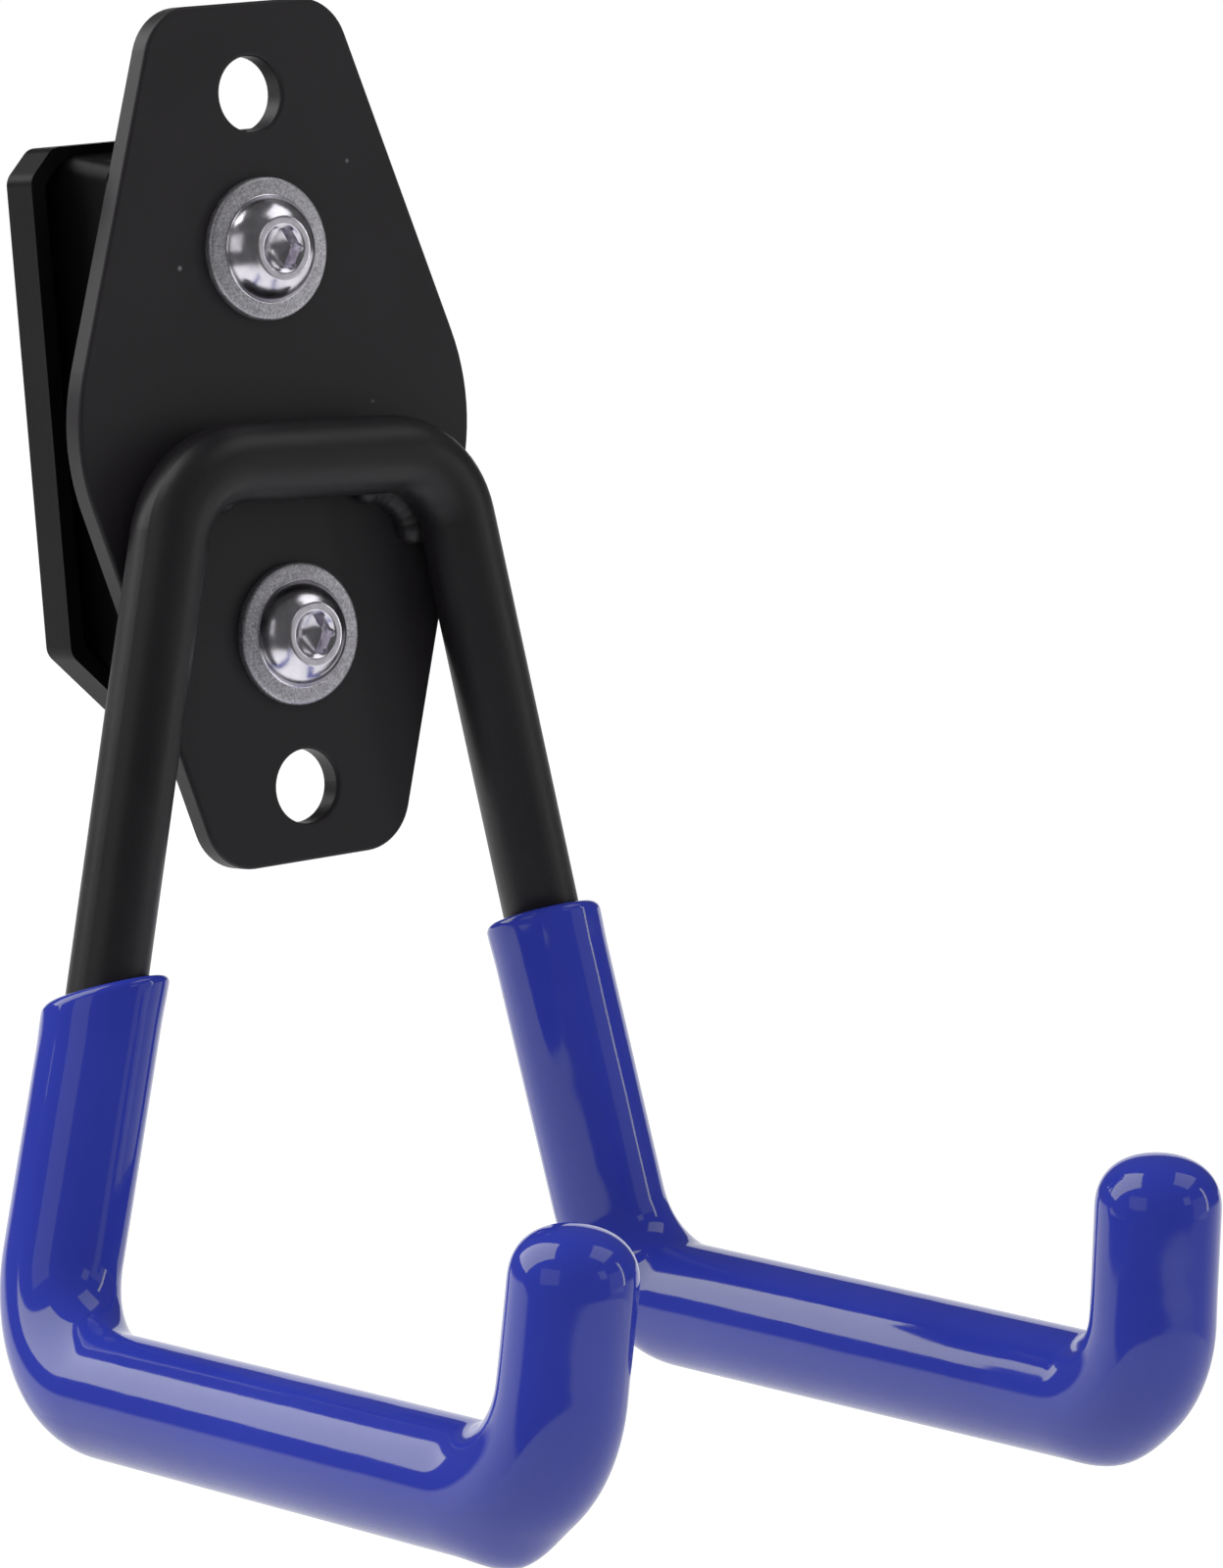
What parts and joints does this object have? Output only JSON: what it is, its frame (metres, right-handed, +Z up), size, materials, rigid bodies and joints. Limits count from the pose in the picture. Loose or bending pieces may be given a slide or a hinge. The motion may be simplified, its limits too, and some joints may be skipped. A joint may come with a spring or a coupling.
{
  "type": "garage utility hook",
  "caption": "wall hook of bent steel rod with two dipped vinyl arms, welded to a lens-shaped plate that is screwed to a pressed bracket behind it",
  "frame": {"origin": "on the back face of the front plate, midway between its two fixing holes", "axes": "+X to the right seen from the room, +Y into the wall, +Z up"},
  "size_m": [0.104, 0.1329, 0.1805],
  "materials": {
    "black_powder": "matt powder coat",
    "black_bracket": "satin black paint",
    "blue_vinyl": "glossy dipped vinyl",
    "zinc": "bright zinc plate"
  },
  "bodies": {
    "root": {"front_plate": "black_powder", "hook_rod": "black_powder", "rail_bracket": "black_bracket", "left_weld": "black_powder", "right_weld": "black_powder", "left_grip": "blue_vinyl", "right_grip": "blue_vinyl", "upper_screw": "zinc", "lower_screw": "zinc", "upper_nut": "zinc", "lower_nut": "zinc"}
  },
  "joints": []
}
